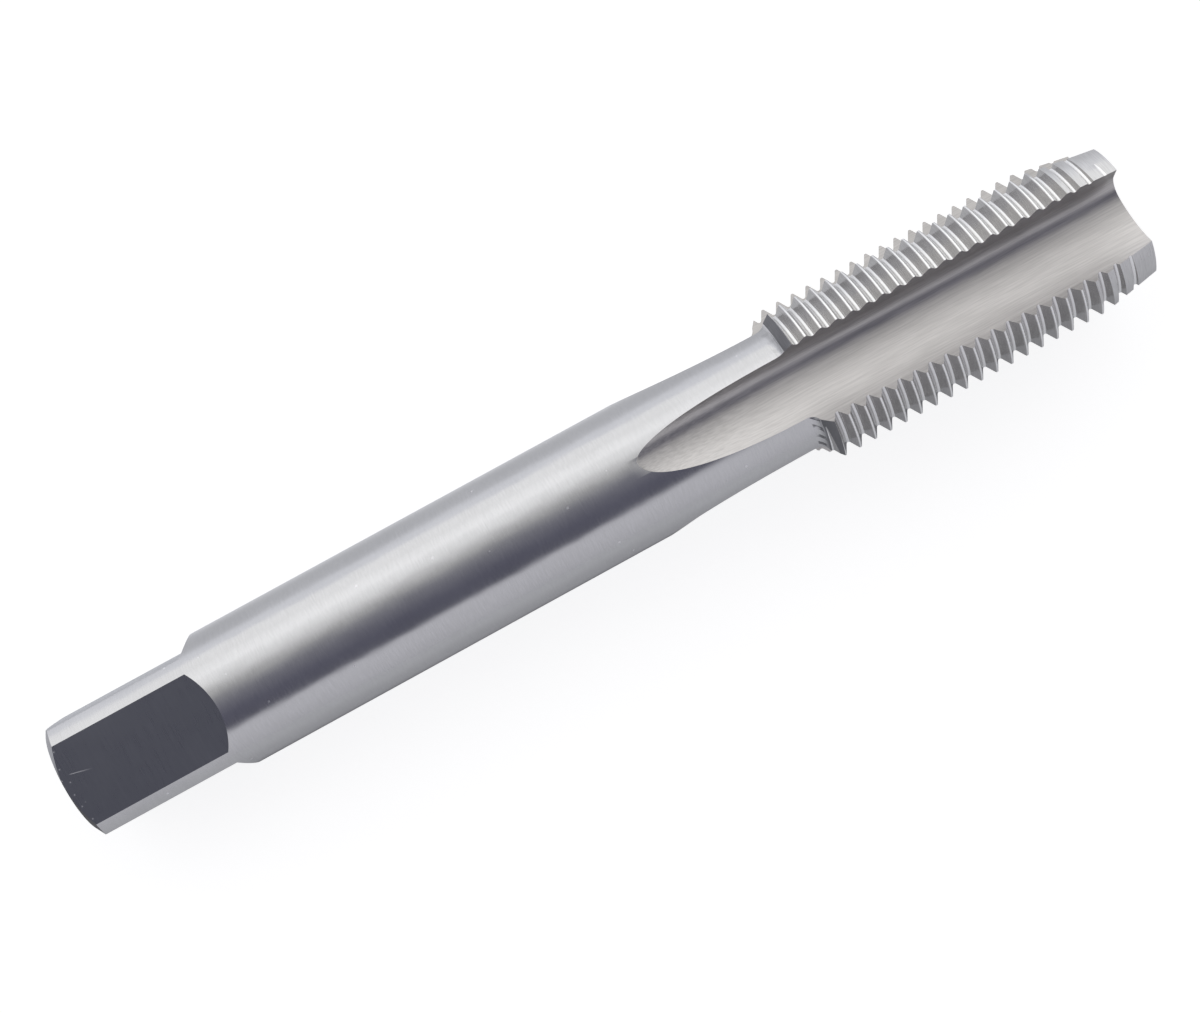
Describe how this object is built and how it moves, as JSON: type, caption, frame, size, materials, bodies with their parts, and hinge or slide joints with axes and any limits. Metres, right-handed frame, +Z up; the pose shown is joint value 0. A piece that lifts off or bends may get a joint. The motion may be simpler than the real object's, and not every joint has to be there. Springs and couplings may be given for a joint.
{
  "type": "thread tap",
  "caption": "Straight-flute hand tap for a fine metric thread, with a plain round shank, a driving square and a lathe centre in each end.",
  "frame": {"origin": "under the middle of the tap, on the flat surface it lies on", "axes": "+X runs along the tap from the driving square to the point, +Z is up and +Y lies across it. The tap lies on two lands and on its shank, so its axis rises by under one degree towards the point"},
  "size_m": [0.1028, 0.0142, 0.0144],
  "materials": {
    "tap": "ground satin steel on the shank and the lands, milled dull grey on the square, finely ground bright flutes"
  },
  "bodies": {
    "root": {"tap": "tap"}
  },
  "joints": []
}
